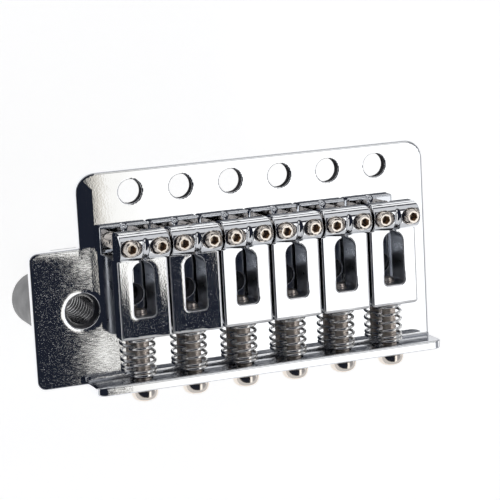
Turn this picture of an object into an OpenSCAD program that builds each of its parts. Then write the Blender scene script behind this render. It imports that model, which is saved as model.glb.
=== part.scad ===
// Six-saddle tremolo bridge for an electric guitar, left-handed: the arm socket is at the left.
// +X runs across the strings, +Y points to the neck, and +Z points out of the guitar.
// The origin is the middle of the row of six pivot-screw holes, on the underside of the base plate.

/* [Spacing] */
// Distance between neighbouring pivot-screw holes
hole_pitch = 10.5; // [9.6:0.1:11.4]
// Distance between neighbouring strings, saddles and intonation screws
string_pitch = 10.7; // [10.6:0.1:11.4]

/* [Base plate] */
// Thickness of the bent sheet
sheet_t = 2; // [1.6:0.1:2.4]
// Width of the plate without its arm ear
plate_w = 74.6; // [73:0.2:84]
// From the line of pivot holes forward to the front edge
front_margin = 4.4; // [3.6:0.1:8]
// From the line of pivot holes back to the inner face of the lip
lip_y = 36.7; // [36:0.1:41]
// Height of the lip above the top of the plate
lip_h = 6.5; // [6:0.1:9]
// Inner radius of the bend under the lip
bend_r = 0.6; // [0.3:0.1:1.2]
// Radius of the two front corners of the plate
plate_corner_r = 4; // [1:0.2:6]
// Radius of the upper corners of the lip
lip_corner_r = 1.8; // [0.5:0.1:3]
// Diameter of a pivot-screw hole
pivot_hole_d = 4.8; // [4:0.1:5.6]
// Rounding of the rim of each pivot-screw hole
rim_r = 0.3; // [0.1:0.05:0.5]
// Diameter of a string hole in the plate
string_hole_d = 4; // [3:0.1:4.6]
// From the line of pivot holes back to the line of string holes
string_y = 20.4; // [19.4:0.1:21.6]
// Diameter of a hole in the lip for an intonation screw
lip_hole_d = 3.6; // [3.4:0.1:4.4]

/* [Arm ear] */
// How far the ear stands out past the left edge of the plate
ear_w = 10.2; // [7:0.1:14]
// From the line of pivot holes back to the front edge of the ear
ear_front_y = 10.1; // [6:0.1:14]
// How far the rear edge of the ear stops short of the outer face of the lip
ear_short = 1.3; // [0.3:0.1:3]
// Radius of the corners of the ear
ear_corner_r = 1.8; // [0.5:0.1:4]
// From the middle of the plate left to the arm hole
arm_x = 37.4; // [36.4:0.1:40]
// From the line of pivot holes back to the arm hole
arm_y = 22.5; // [20:0.1:25]
// Diameter of the arm hole in the plate
arm_hole_d = 6.9; // [6.4:0.1:8]
// Diameter of the tapped arm hole in the block
arm_bore_d = 5.2; // [5:0.1:6.2]

/* [Block] */
// Length of the block under the plate
block_l = 67; // [64:0.5:72]
// Thickness of the block from front to rear
block_t = 13.2; // [12.6:0.1:15]
// From the line of pivot holes back to the front face of the block
block_front_y = 15.4; // [14:0.1:16]
// Depth of the block below the plate
block_h = 38; // [28:0.5:46]
// Radius of the upright corners of the block
block_corner_r = 1.5; // [0.5:0.1:3]
// Radius of the round nose that holds the arm
nose_r = 5.5; // [4.5:0.1:6.4]
// From the arm hole out to the centre of the round nose
nose_reach = 3.9; // [1:0.1:5]
// Depth of the nose below the plate
nose_h = 17; // [12:0.5:24]
// Radius of the fillet between the nose and the deep block
nose_fillet_r = 6; // [2:0.5:9]
// Diameter of a string bore through the top of the block
string_bore_d = 2.6; // [1.6:0.1:3.4]
// Diameter of a bore for the ball end of a string
ball_bore_d = 7; // [5:0.1:7.6]
// Depth of the seat of the ball ends below the plate
ball_seat_z = 14; // [12:0.5:24]
// Diameter of a hole for the hook of a tremolo spring
hook_hole_d = 2.2; // [1.6:0.1:2.4]
// Depth of a hook hole
hook_hole_h = 9; // [5:0.5:14]
// From the rear face of the block forward to the line of hook holes
hook_hole_y = 2.6; // [2:0.1:2.8]

/* [Block screws] */
// Thread diameter of the screws that hold the block
block_screw_d = 4; // [3:0.5:4.5]
// Diameter of their countersunk heads
block_head_d = 7.4; // [6:0.1:7.8]
// Length of the block screws
block_screw_l = 11; // [8:0.5:12.5]
// Width of the crossed slots in their heads
block_slot_w = 0.9; // [0.6:0.1:1.2]
// Depth of those slots
block_slot_h = 1; // [0.6:0.1:1.4]
// From the line of string holes back to the block screws
block_screw_y = 4.6; // [4.4:0.1:5]

/* [Saddle] */
// Width of a saddle
saddle_w = 10.2; // [9.4:0.05:10.5]
// Length of a saddle
saddle_l = 20.8; // [19.8:0.1:22]
// From the line of pivot holes back to the front of the saddles
saddle_y = 6.95; // [6.2:0.05:8]
// Height of the body of a saddle
body_h = 5.8; // [5.2:0.1:7]
// Gap between a saddle and the plate
saddle_lift = 0.9; // [0.8:0.05:1.6]
// Radius of the half-round crest that carries the string
crest_r = 2.8; // [2.4:0.05:3.2]
// How much higher the underside lies under the crest than under the body
crest_rise = 3; // [1:0.1:3.4]
// Radius of the lower side edges of the body
belly_r = 2.2; // [0.3:0.1:2.4]
// Radius of the string groove over the crest
groove_r = 0.65; // [0.3:0.05:0.9]
// How far the groove's middle lies ahead of the crest's, so that it runs out in front
groove_shift = 0.5; // [0.2:0.05:0.7]
// Radius of the upright rear corners of a saddle
saddle_corner_r = 0.8; // [0.2:0.1:2]
// Rounding of the rear top edge of a saddle
rear_edge_r = 1.2; // [0.3:0.1:1.6]
// Width of the string window in a saddle
window_w = 4.6; // [4.2:0.1:5.2]
// Length of the string window
window_l = 10.8; // [9.8:0.1:11.2]
// From the rear foot of the crest back to the window
window_gap = 0.45; // [0.2:0.05:0.9]
// Radius of the front corners of the window
window_front_r = 2.2; // [1:0.1:2.3]
// Radius of the rear corners of the window
window_corner_r = 1.3; // [0.5:0.1:2]

/* [Saddle screws] */
// Thread diameter of the intonation and height screws
thread_d = 3; // [2.6:0.1:3.2]
// Gap all round a screw in its tapped hole
thread_play = 0.05; // [0.02:0.01:0.08]
// Height of an intonation screw above the plate
screw_z = 3; // [2.9:0.05:3.3]
// Length of an intonation screw under its head
screw_l = 16; // [15.4:0.1:18]
// Diameter of the head of an intonation screw
head_d = 5.6; // [4.8:0.1:5.8]
// Height of the head of an intonation screw
head_h = 2.7; // [1.8:0.1:3]
// Width of the crossed slots in the head
slot_w = 0.85; // [0.6:0.05:1.1]
// Length of those slots
slot_l = 3.1; // [2.4:0.1:3.8]
// Gap between the head and the lip
head_play = 0.16; // [0.14:0.01:0.25]
// From the middle of a saddle to each height screw
grub_x = 3.05; // [2.7:0.05:3.3]
// Length of a height screw
grub_l = 10; // [9:0.5:12]
// Width across the flats of the socket in a height screw
socket_w = 1.5; // [1.2:0.1:1.6]
// Depth of that socket
socket_h = 1.6; // [1:0.1:2.5]
// Chamfer at the top of a height screw
grub_edge = 0.3; // [0.1:0.05:0.5]
// Gap between the foot of a height screw and the plate
foot_play = 0.2; // [0.15:0.05:0.4]

/* [Intonation spring] */
// Outer diameter of a spring
spring_d = 5.4; // [4.8:0.1:5.6]
// Thickness of the spring wire
wire_d = 0.55; // [0.4:0.05:0.7]
// Number of curls between the two ends
spring_turns = 4.75; // [3.25:0.25:5.25]
// Gap between each end of a spring and the face that it presses on
spring_play = 0.1; // [0.08:0.01:0.2]

/* [Hidden] */
$fn = 48;
STRINGS = [1:6];
SIDES = [-1, 1];
SIDE_NAMES = ["left", "right"];

chrome = [0.80, 0.81, 0.84];
zinc = [0.66, 0.66, 0.67];
nickel = [0.72, 0.67, 0.60];
steel = [0.62, 0.62, 0.63];

cut = 0.5; // how far a cutting shape runs past the face that it opens
overlap = 1; // how far a joined shape runs into its neighbour
plate_left = -plate_w / 2;
lip_outer_y = lip_y + sheet_t;
bend_y = lip_y - bend_r; // the flat sheet ends here and the bend begins
ear_rear_y = lip_outer_y - ear_short;

saddle_bottom = sheet_t + saddle_lift;
body_top = saddle_bottom + body_h;
crest_y = saddle_y + crest_r;
saddle_rear_y = saddle_y + saddle_l;
window_y = saddle_y + 2 * crest_r + window_gap;
body_front_y = saddle_y + 2 * crest_r; // the deep part of a saddle begins here
screw_axis_z = sheet_t + screw_z;
tapped_r = thread_d / 2;
screw_r = tapped_r - thread_play;
groove_drop = groove_shift * tan(22.5);
thread_chamfer = 0.5; // width of the bevel round the mouth of a tapped hole in the crest
foot_taper = 0.6; // length of the taper at the tip of a screw

block_rear_y = block_front_y + block_t;
block_left = -block_l / 2;
block_screw_x = 2 * string_pitch;
block_screw_play = 0.05;
block_screw_sink = (block_head_d - block_screw_d) / 2;

function string_x(n) = (n - 3.5) * string_pitch;
function pivot_x(n) = (n - 3.5) * hole_pitch;

// A rectangle centred on X that runs back from y = 0, with its own radius at each end
module rounded_slot(w, l, front_r, rear_r) {
    translate([-w / 2, -(l - rear_r)]) square([w, l - front_r - rear_r]);
    translate([-w / 2 + front_r, -front_r]) square([w - 2 * front_r, front_r]);
    translate([-w / 2 + rear_r, -l]) square([w - 2 * rear_r, rear_r]);
    for (side = SIDES) {
        translate([side * (w / 2 - front_r), -front_r]) circle(front_r);
        translate([side * (w / 2 - rear_r), -(l - rear_r)]) circle(rear_r);
    }
}

// What is cut off a square corner at the origin to leave it round; the material lies at x < 0, y < 0
module corner_cut(r) {
    difference() {
        translate([-r, -r]) square(r + cut);
        translate([-r, -r]) circle(r);
    }
}

// Extrudes an outline drawn in Y and Z along X, centred on x = 0
module along_x(w) {
    rotate([90, 0, 90]) translate([0, 0, -w / 2]) linear_extrude(w) children();
}

// A screw or bore that points backwards, with its near end at y = 0
module backwards() {
    rotate([90, 0, 0]) children();
}

// Base plate: one sheet, bent up at the rear into the lip

module bent_sheet_outline() {
    translate([-bend_y, 0]) square([bend_y + front_margin, sheet_t]);
    translate([-lip_outer_y, sheet_t + bend_r]) square([sheet_t, lip_h - bend_r]);
    intersection() {
        translate([-bend_y, sheet_t + bend_r]) difference() {
            circle(sheet_t + bend_r);
            circle(bend_r);
        }
        translate([-lip_outer_y, 0]) square(sheet_t + bend_r);
    }
}

module ear_outline() {
    difference() {
        union() {
            translate([plate_left - ear_w, -ear_rear_y]) square([ear_w, ear_rear_y - ear_front_y]);
            translate([plate_left - overlap, -bend_y]) square([2 * overlap, bend_y - ear_front_y]);
        }
        translate([plate_left - ear_w, -ear_front_y]) mirror([1, 0]) corner_cut(ear_corner_r);
        translate([plate_left - ear_w, -ear_rear_y]) rotate(180) corner_cut(ear_corner_r);
    }
}

module pivot_hole() {
    translate([0, 0, -cut]) cylinder(d = pivot_hole_d, h = sheet_t + 2 * cut);
    translate([0, 0, sheet_t]) rotate_extrude()
        translate([pivot_hole_d / 2, 0]) mirror([1, 0]) corner_cut(rim_r);
}

module block_screw_hole() {
    shank_r = block_screw_d / 2 + block_screw_play;
    head_r = block_head_d / 2 + block_screw_play;
    translate([0, 0, -cut]) cylinder(r = shank_r + block_screw_play, h = sheet_t + 2 * cut);
    translate([0, 0, sheet_t - block_screw_sink]) cylinder(r1 = shank_r, r2 = head_r, h = block_screw_sink);
}

module base_plate() {
    color(chrome) difference() {
        union() {
            along_x(plate_w) bent_sheet_outline();
            linear_extrude(sheet_t) ear_outline();
        }
        for (side = SIDES) {
            translate([side * plate_w / 2, front_margin, -cut]) scale([side, 1, 1])
                linear_extrude(sheet_t + 2 * cut) corner_cut(plate_corner_r);
            translate([side * plate_w / 2, -lip_y + cut, sheet_t + lip_h]) scale([side, 1, 1])
                backwards() linear_extrude(sheet_t + 2 * cut) corner_cut(lip_corner_r);
        }
        for (n = STRINGS) {
            translate([pivot_x(n), 0, 0]) pivot_hole();
            translate([string_x(n), -string_y, -cut]) cylinder(d = string_hole_d, h = sheet_t + 2 * cut);
            translate([string_x(n), -lip_y + cut, screw_axis_z])
                backwards() cylinder(d = lip_hole_d, h = sheet_t + 2 * cut);
        }
        translate([-arm_x, -arm_y, -cut]) cylinder(d = arm_hole_d, h = sheet_t + 2 * cut);
        for (i = [-1:1])
            translate([i * block_screw_x, -string_y - block_screw_y, 0]) block_screw_hole();
    }
}

// Inertia block: a cast bar with a short round nose that holds the arm

module deep_block_outline() {
    translate([0, -block_front_y])
        rounded_slot(block_l, block_t, block_corner_r, block_corner_r);
}

module nose() {
    reach = arm_x + nose_reach;
    translate([-reach, -arm_y, -nose_h]) cylinder(r = nose_r, h = nose_h);
    translate([-reach, -arm_y - nose_r, -nose_h])
        cube([reach + block_left + block_corner_r, 2 * nose_r, nose_h]);
}

// The curve that leads the underside of the nose down into the end of the deep block
module nose_fillet() {
    translate([block_left, -arm_y + nose_r, -nose_h]) backwards() linear_extrude(2 * nose_r)
        difference() {
            translate([-nose_fillet_r, -nose_fillet_r])
                square([nose_fillet_r + block_corner_r, nose_fillet_r]);
            translate([-nose_fillet_r, -nose_fillet_r]) circle(nose_fillet_r);
        }
}

module string_passage() {
    translate([0, 0, -ball_seat_z - cut]) cylinder(d = string_bore_d, h = ball_seat_z + 2 * cut);
    translate([0, 0, -block_h - cut]) cylinder(d = ball_bore_d, h = block_h - ball_seat_z + cut);
}

module inertia_block() {
    color(zinc) difference() {
        union() {
            translate([0, 0, -block_h]) linear_extrude(block_h) deep_block_outline();
            nose();
            nose_fillet();
        }
        translate([-arm_x, -arm_y, -nose_h - cut]) cylinder(d = arm_bore_d, h = nose_h + 2 * cut);
        for (n = STRINGS)
            translate([string_x(n), -string_y, 0]) string_passage();
        for (i = [-2:2])
            translate([i * string_pitch, -block_rear_y + hook_hole_y, -block_h - cut])
                cylinder(d = hook_hole_d, h = hook_hole_h + cut);
        for (i = [-1:1])
            translate([i * block_screw_x, -string_y - block_screw_y, -block_screw_l])
                cylinder(d = block_screw_d, h = block_screw_l + cut);
    }
}

module block_screw() {
    difference() {
        union() {
            translate([0, 0, sheet_t - block_screw_sink - block_screw_play])
                cylinder(d1 = block_screw_d, d2 = block_head_d, h = block_screw_sink);
            translate([0, 0, sheet_t - block_screw_l])
                cylinder(r = block_screw_d / 2 - block_screw_play, h = block_screw_l - block_screw_sink);
        }
        for (turn = [0, 90]) rotate(turn)
            translate([-block_head_d / 4, -block_slot_w / 2, sheet_t - block_slot_h])
                cube([block_head_d / 2, block_slot_w, block_slot_h + cut]);
    }
}

module block_screws() {
    color(steel) for (i = [-1:1])
        translate([i * block_screw_x, -string_y - block_screw_y, 0]) block_screw();
}

// Saddles: a block with a half-round crest at the front, which stands clear of the plate on its screws,
// a window for the string, two upright tapped holes through the crest and one lengthways through the rear wall

module saddle_side_outline() {
    difference() {
        translate([-saddle_rear_y, saddle_bottom]) square([saddle_l, body_h]);
        translate([-saddle_rear_y, body_top]) mirror([1, 0]) corner_cut(rear_edge_r);
        translate([-body_front_y, saddle_bottom - cut]) square([2 * crest_r + cut, crest_rise + cut]);
        translate([-body_front_y, saddle_bottom]) mirror([0, 1]) corner_cut(crest_rise / 2);
    }
    translate([-crest_y, body_top]) circle(crest_r, $fn = 64);
}

module saddle_plan_outline() {
    translate([0, -saddle_y]) rounded_slot(saddle_w, saddle_l, saddle_corner_r / 2, saddle_corner_r);
}

module saddle_end_outline() {
    difference() {
        translate([-saddle_w / 2, saddle_bottom]) square([saddle_w, body_h + crest_r]);
        for (side = SIDES)
            translate([side * saddle_w / 2, saddle_bottom]) scale([side, -1]) corner_cut(belly_r);
    }
}

// The groove follows the crest down to the window, but lies further forward and lower than
// the crest's own middle, so that it is deepest at the rear and runs out in front
module string_groove() {
    translate([0, groove_shift - crest_y, body_top - groove_drop]) rotate([0, 0, -90]) rotate([90, 0, 0])
        rotate_extrude(angle = 180) translate([crest_r + groove_shift, 0]) circle(groove_r);
}

module height_screw_bore() {
    mouth_r = tapped_r + thread_chamfer;
    translate([0, 0, saddle_bottom - cut]) cylinder(r = tapped_r, h = body_h + crest_r + 2 * cut);
    translate([0, 0, body_top + crest_r - 2 * thread_chamfer])
        cylinder(r1 = tapped_r, r2 = mouth_r + thread_chamfer, h = 2 * thread_chamfer);
}

module intonation_bore() {
    wall = saddle_y + saddle_l - window_y - window_l;
    translate([0, -window_y - window_l + window_corner_r, screw_axis_z])
        backwards() cylinder(r = tapped_r, h = wall + window_corner_r + cut);
}

module saddle(n) {
    color(chrome) translate([string_x(n), 0, 0]) difference() {
        intersection() {
            along_x(saddle_w) saddle_side_outline();
            translate([0, 0, saddle_bottom]) linear_extrude(body_h + crest_r) saddle_plan_outline();
            translate([0, -saddle_y, 0]) backwards() linear_extrude(saddle_l) saddle_end_outline();
        }
        translate([0, -window_y, saddle_bottom - cut]) linear_extrude(body_h + 2 * cut)
            rounded_slot(window_w, window_l, window_front_r, window_corner_r);
        string_groove();
        for (side = SIDES) translate([side * grub_x, -crest_y, 0]) height_screw_bore();
        intonation_bore();
    }
}

// Intonation screw: a domed head behind the lip, with its thread through the lip, spring and saddle

module screw_head_outline() {
    edge_h = 0.35 * head_h;
    dome_h = head_h - edge_h;
    dome_r = (head_d * head_d / 4 + dome_h * dome_h) / (2 * dome_h);
    square([head_d / 2, edge_h]);
    intersection() {
        translate([0, edge_h]) square([head_d / 2, dome_h]);
        translate([0, head_h - dome_r]) circle(dome_r, $fn = 96);
    }
}

module cross_recess() {
    for (turn = [0, 90]) rotate(turn)
        translate([-slot_l / 2, -slot_w / 2, head_h / 2]) cube([slot_l, slot_w, head_h]);
}

module intonation_screw(n) {
    color(nickel) translate([string_x(n), -lip_outer_y - head_play, screw_axis_z]) backwards() {
        difference() {
            rotate_extrude() screw_head_outline();
            cross_recess();
        }
        mirror([0, 0, 1]) {
            cylinder(r = screw_r, h = screw_l - foot_taper);
            translate([0, 0, screw_l - foot_taper])
                cylinder(r1 = screw_r, r2 = screw_r - foot_taper / 2, h = foot_taper);
        }
    }
}

// Height screw: a headless socket screw that stands on the plate

module height_screw(n, side) {
    color(nickel) translate([string_x(n) + side * grub_x, -crest_y, sheet_t + foot_play]) difference() {
        union() {
            cylinder(r1 = screw_r - foot_taper, r2 = screw_r, h = foot_taper);
            translate([0, 0, foot_taper]) cylinder(r = screw_r, h = grub_l - foot_taper - grub_edge);
            translate([0, 0, grub_l - grub_edge])
                cylinder(r1 = screw_r, r2 = screw_r - grub_edge, h = grub_edge);
        }
        translate([0, 0, grub_l - socket_h])
            cylinder(d = socket_w / cos(30), h = socket_h + cut, $fn = 6);
    }
}

// Intonation spring: one unbroken round wire wound round the screw, between the lip and the saddle

RINGS = 8; // rings of the tube for each curl
TUBE_SIDES = 6;
spring_l = lip_y - saddle_rear_y - 2 * spring_play;
coil_r = (spring_d - wire_d) / 2;
turn_in_r = 0.9 * wire_d; // the wire turns from the curl to its straight end in this radius
end_l = turn_in_r + wire_d;
curl_pitch = (spring_l - 2 * end_l) / spring_turns;
curl_steps = spring_turns * RINGS;
end_angles = [22.5, 45, 67.5, 90];

// A point on the middle of the wire and the direction in which it runs, for a step along the curls
function curl(step) =
    let (turn = 360 * step / RINGS)
    [coil_r * cos(turn), coil_r * sin(turn), end_l + curl_pitch * step / RINGS];
function curl_direction(step) = let (turn = 360 * step / RINGS) [-sin(turn), cos(turn), 0];

// The wire leaves the last curl in a quarter bend and ends in a straight piece along the spring
function end_points(step, way) =
    let (start = curl(step), along = curl_direction(step) * way)
    concat(
        [for (a = end_angles) start + turn_in_r * (sin(a) * along + (1 - cos(a)) * [0, 0, way])],
        [start + turn_in_r * along + (turn_in_r + wire_d) * [0, 0, way]]);
function backward(list) = [for (i = [len(list) - 1:-1:0]) list[i]];

wire_path = concat(
    backward(end_points(0, -1)),
    [for (step = [0:curl_steps]) curl(step)],
    end_points(curl_steps, 1));

function unit(v) = v / norm(v);
function path_direction(i) =
    i == 0 || i == len(wire_path) - 1 ? [0, 0, 1]
    : unit(unit(wire_path[i + 1] - wire_path[i]) + unit(wire_path[i] - wire_path[i - 1]));

// A point of ring i, which lies square to the wire: its corners are counted from the side away from the axis
function ring_point(i, corner) =
    let (
        p = wire_path[i],
        ahead = path_direction(i),
        outward = unit([p[0], p[1], 0] - ([p[0], p[1], 0] * ahead) * ahead),
        sideways = cross(ahead, outward),
        a = 360 * corner / TUBE_SIDES
    ) p + wire_d / 2 * (cos(a) * outward + sin(a) * sideways);

wire_points = [for (i = [0:len(wire_path) - 1], corner = [0:TUBE_SIDES - 1]) ring_point(i, corner)];
function wire_corner(i, corner) = i * TUBE_SIDES + corner % TUBE_SIDES;
wire_sides = [
    for (i = [0:len(wire_path) - 2], corner = [0:TUBE_SIDES - 1])
        for (half = [0, 1])
            half == 0
            ? [wire_corner(i, corner), wire_corner(i, corner + 1), wire_corner(i + 1, corner + 1)]
            : [wire_corner(i, corner), wire_corner(i + 1, corner + 1), wire_corner(i + 1, corner)]];
wire_ends = [
    for (corner = [1:TUBE_SIDES - 2], last = [0, len(wire_path) - 1])
        last == 0
        ? [wire_corner(0, 0), wire_corner(0, corner + 1), wire_corner(0, corner)]
        : [wire_corner(last, 0), wire_corner(last, corner), wire_corner(last, corner + 1)]];

// The least distance between two stretches of the wire that lie at least half a curl apart along it
wire_run = [
    for (i = 0, run = 0; i < len(wire_path); i = i + 1,
        run = run + (i < len(wire_path) ? norm(wire_path[i] - wire_path[i - 1]) : 0)) run];
wire_gap = min([
    for (i = [0:len(wire_path) - 1], j = [i:len(wire_path) - 1])
        if (wire_run[j] - wire_run[i] > PI * coil_r) norm(wire_path[i] - wire_path[j])]) - wire_d;
echo("Least gap between the curls of a spring, mm:", wire_gap);

module intonation_spring(n) {
    color(steel) translate([string_x(n), -saddle_rear_y - spring_play, screw_axis_z])
        backwards() polyhedron(points = wire_points, faces = concat(wire_sides, wire_ends));
}

base_plate();
inertia_block();
block_screws();
for (n = STRINGS) {
    saddle(n);
    intonation_screw(n);
    intonation_spring(n);
    height_screw(n, -1);
    height_screw(n, 1);
}
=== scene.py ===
"""Dresses the tremolo bridge: chromed plate and saddles, cast block, threaded screws and wound springs.

Lengths in the shapes below are millimetres in the row's own frame. Blender's units are metres.
"""

import math
from functools import partial

import bmesh
import bpy
import numpy as np
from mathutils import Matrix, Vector


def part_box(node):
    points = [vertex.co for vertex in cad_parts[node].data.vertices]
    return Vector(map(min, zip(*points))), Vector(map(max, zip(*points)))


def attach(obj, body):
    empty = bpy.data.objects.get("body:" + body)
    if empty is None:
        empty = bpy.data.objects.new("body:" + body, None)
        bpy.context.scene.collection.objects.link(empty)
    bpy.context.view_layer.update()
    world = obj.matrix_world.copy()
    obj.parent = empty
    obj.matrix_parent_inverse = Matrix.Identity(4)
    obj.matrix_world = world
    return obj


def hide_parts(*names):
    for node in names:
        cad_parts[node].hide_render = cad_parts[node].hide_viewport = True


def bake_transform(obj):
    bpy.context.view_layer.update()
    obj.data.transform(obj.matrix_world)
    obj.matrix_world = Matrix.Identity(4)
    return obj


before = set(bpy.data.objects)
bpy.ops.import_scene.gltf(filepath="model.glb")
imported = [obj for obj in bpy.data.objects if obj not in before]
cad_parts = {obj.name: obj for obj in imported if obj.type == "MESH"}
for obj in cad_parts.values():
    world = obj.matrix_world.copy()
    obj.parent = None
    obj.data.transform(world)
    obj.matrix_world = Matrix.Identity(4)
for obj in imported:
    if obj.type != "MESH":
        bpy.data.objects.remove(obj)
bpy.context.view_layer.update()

MM = 0.001
STRINGS = range(1, 7)
SIDES = ("left", "right")


def cad_box(node):
    """Lowest and highest corner of a node, in millimetres."""
    low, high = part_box(node)
    return np.array(low) / MM, np.array(high) / MM


# Sizes

PLATE_LOW, PLATE_HIGH = cad_box("base_plate")
SHEET = 2.0
BEND_R = 0.6
LIP_Y = PLATE_LOW[1] + SHEET
BEND_Y = LIP_Y + BEND_R
PLATE_HALF_W = PLATE_HIGH[0]
EAR_FRONT_Y = -10.1
EAR_REAR_Y = PLATE_LOW[1] + 1.3
PLATE_CORNER_R = 4.0
LIP_CORNER_R = 1.8
EAR_CORNER_R = 1.8
# How far right the ear's finish reaches, and how far right it reaches behind EAR_ROOT_Y
EAR_FINISH_X = -35.2
EAR_ROOT_X = -30.5
EAR_ROOT_Y = -26.0
# How far the ear's front edge has sunk near the plate, over what length and how far back
EAR_DROP = 0.15
EAR_DROP_L = 10
EAR_DROP_REACH = 1.5
PLATE_EDGE_R = 0.5
HOLE_PITCH = 10.5
STRING_PITCH = 10.7
PIVOT_R = 2.4
PIVOT_RIM_R = 0.18
STRING_HOLE_R = 2.0
HOLE_RIM_R = 0.2
STRING_Y = -20.4
LIP_HOLE_R = 1.8
LIP_HOLE_RIM_R = 0.15
SCREW_Z = 5.0
ARM_X, ARM_Y = -37.4, -22.5
ARM_HOLE_R = 3.45
ARM_HOLE_RIM_R = 0.3
ARM_BORE_R = 2.6
ARM_THREAD_DEPTH = 0.4
# The buffed border of the plate falls away by this slope
ROLL_W = 3.2
ROLL_SLOPE = 0.011
# The rim of the arm hole is buffed down
DISH_DEPTH = 0.05
DISH_R = 0.45
# Hollows in the polished top: x, y, reach along x, reach along y, depth
DENTS = (
    (-35.0, -13.8, 2.6, 1.9, 0.017),
    (-30.5, -32.0, 5.0, 4.5, 0.035),
)
# How many times as far they run out towards +x
DENT_TAIL = 8.0
BLOCK_SCREW_Y = -25.0
BLOCK_SCREW_X = 2 * STRING_PITCH
BLOCK_HEAD_R = 3.75

BLOCK_LOW, BLOCK_HIGH = cad_box("inertia_block")
BLOCK_HALF_L = BLOCK_HIGH[0]
BLOCK_CORNER_R = 1.5
BLOCK_FOOT_R = 0.6
NOSE_R = 5.5
NOSE_DEPTH = 17.0
NOSE_FILLET_R = 6.0
# A quarter of a millimetre less than in the solids, to keep a wall beside the bevel
BALL_R = 3.25
BALL_SEAT_Z = -14.0
PASSAGE_R = 1.3
HOOK_R = 1.1
HOOK_Y = -26.0
HOOK_DEPTH = 9.0
# Where the bevel of the block's front foot starts, and its depth at the bottom.
# The photo shows no corner there.
BEVEL_Z = -29.0
BEVEL = 1.5

SADDLE_LOW, SADDLE_HIGH = cad_box("saddle_1")
SADDLE_HALF_W = (SADDLE_HIGH[0] - SADDLE_LOW[0]) / 2
CREST_R = 2.8
SADDLE_EDGE_R = 0.4
CREST_Y = SADDLE_HIGH[1] - CREST_R
BODY_TOP = SADDLE_HIGH[2] - CREST_R
BODY_FRONT_Y = SADDLE_HIGH[1] - 2 * CREST_R
CREST_RISE = 3.0
# How far the rear edge stands past the CAD node, as in the photo, and its rounding
REAR_EDGE = 0.6
REAR_EDGE_R = 0.9
BELLY_R = 2.2
GROOVE_R = 0.65
GROOVE_RIM_R = 0.15
GROOVE_SHIFT = 0.5
GROOVE_DROP = 0.21
# The top falls off round the window by this much, over this width
RIM_DROP = 0.022
RIM_W = 0.55
WINDOW_HALF_W = 2.15
WINDOW_REAR_R = 0.8
WINDOW_FRONT_R = 2.0
WINDOW_FRONT_Y = SADDLE_HIGH[1] - 2 * CREST_R - 0.45
WINDOW_REAR_Y = WINDOW_FRONT_Y - 10.8
TOP_MIDDLE_Y = -20.0
GRUB_X = 3.05
TAPPED_R = 1.5
TAPPED_RIM_R = 0.06
# How deep the mouths of the upright tapped holes are countersunk
TAPPED_SINK = 0.8

SCREW_R = 1.45
THREAD_PITCH = 0.5
WIRE_R = 0.3
CLOSED_PITCH = 0.75
REAR_CURLS, OPEN_CURLS, FRONT_CURLS = 1.7, 3.9, 0.8
CURL_START = 0.1
THREAD_DEPTH = 0.14
ARM_PITCH = 1.6


def string_x(n):
    return (n - 3.5) * STRING_PITCH


# Signed distances: negative inside the material, in millimetres


def round_and(a, b, r):
    """What is inside both, with the edge between them rounded to radius r."""
    return np.minimum(np.maximum(a, b), -r) + np.hypot(np.maximum(a + r, 0), np.maximum(b + r, 0))


def round_cut(a, b, r):
    """What is inside a but not b, with the edge rounded."""
    return round_and(a, -b, r)


def fillet_or(a, b, r):
    """What is inside either, with a fillet of radius r where they meet."""
    return -round_and(-a, -b, r)


def rounded_box(u, v, low, high, radii):
    """A rectangle in u and v. radii are those at (low, low), (high, low), (low, high) and (high, high)."""
    middle_u, middle_v = (low[0] + high[0]) / 2, (low[1] + high[1]) / 2
    r = np.where(
        v < middle_v, np.where(u < middle_u, radii[0], radii[1]), np.where(u < middle_u, radii[2], radii[3])
    )
    qu = np.abs(u - middle_u) - (high[0] - low[0]) / 2 + r
    qv = np.abs(v - middle_v) - (high[1] - low[1]) / 2 + r
    return np.hypot(np.maximum(qu, 0), np.maximum(qv, 0)) + np.minimum(np.maximum(qu, qv), 0) - r


def between(w, low, high):
    return np.abs(w - (low + high) / 2) - (high - low) / 2


def disc(u, v, middle, r):
    return np.hypot(u - middle[0], v - middle[1]) - r


def off_row(x, pitch, count):
    """Distance along x from the nearest of a row of places, which lies evenly about x = 0."""
    last = (count - 1) / 2
    shift = last % 1
    return np.abs(x / pitch - np.clip(np.round(x / pitch - shift) + shift, -last, last)) * pitch


def plate_top(x, y):
    """Height of the plate's top, with its buffed border and hollows and the ear's sunk edge."""
    inside = np.minimum(np.minimum(x + PLATE_HALF_W, PLATE_HALF_W - x), PLATE_HIGH[1] - y)
    inside = np.where(y < EAR_FRONT_Y, ROLL_W, inside)
    around = np.maximum(disc(x, y, (ARM_X, ARM_Y), ARM_HOLE_R), 0)
    dish = DISH_DEPTH * np.exp(-((around / DISH_R) ** 2))
    top = SHEET - ROLL_SLOPE * np.clip(ROLL_W - inside, 0, ROLL_W) - dish
    along_ear = np.clip(x - PLATE_LOW[0], 0, EAR_DROP_L) / EAR_DROP_L
    near_edge = np.exp(-(((EAR_FRONT_Y - y) / EAR_DROP_REACH) ** 2))
    top = top - EAR_DROP * along_ear * near_edge * (x < -PLATE_HALF_W)
    for dent_x, dent_y, reach_x, reach_y, depth in DENTS:
        reach_x = np.where(x > dent_x, reach_x * DENT_TAIL, reach_x)
        top = top - depth * np.exp(-(((x - dent_x) / reach_x) ** 2) - ((y - dent_y) / reach_y) ** 2)
    return top


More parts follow.
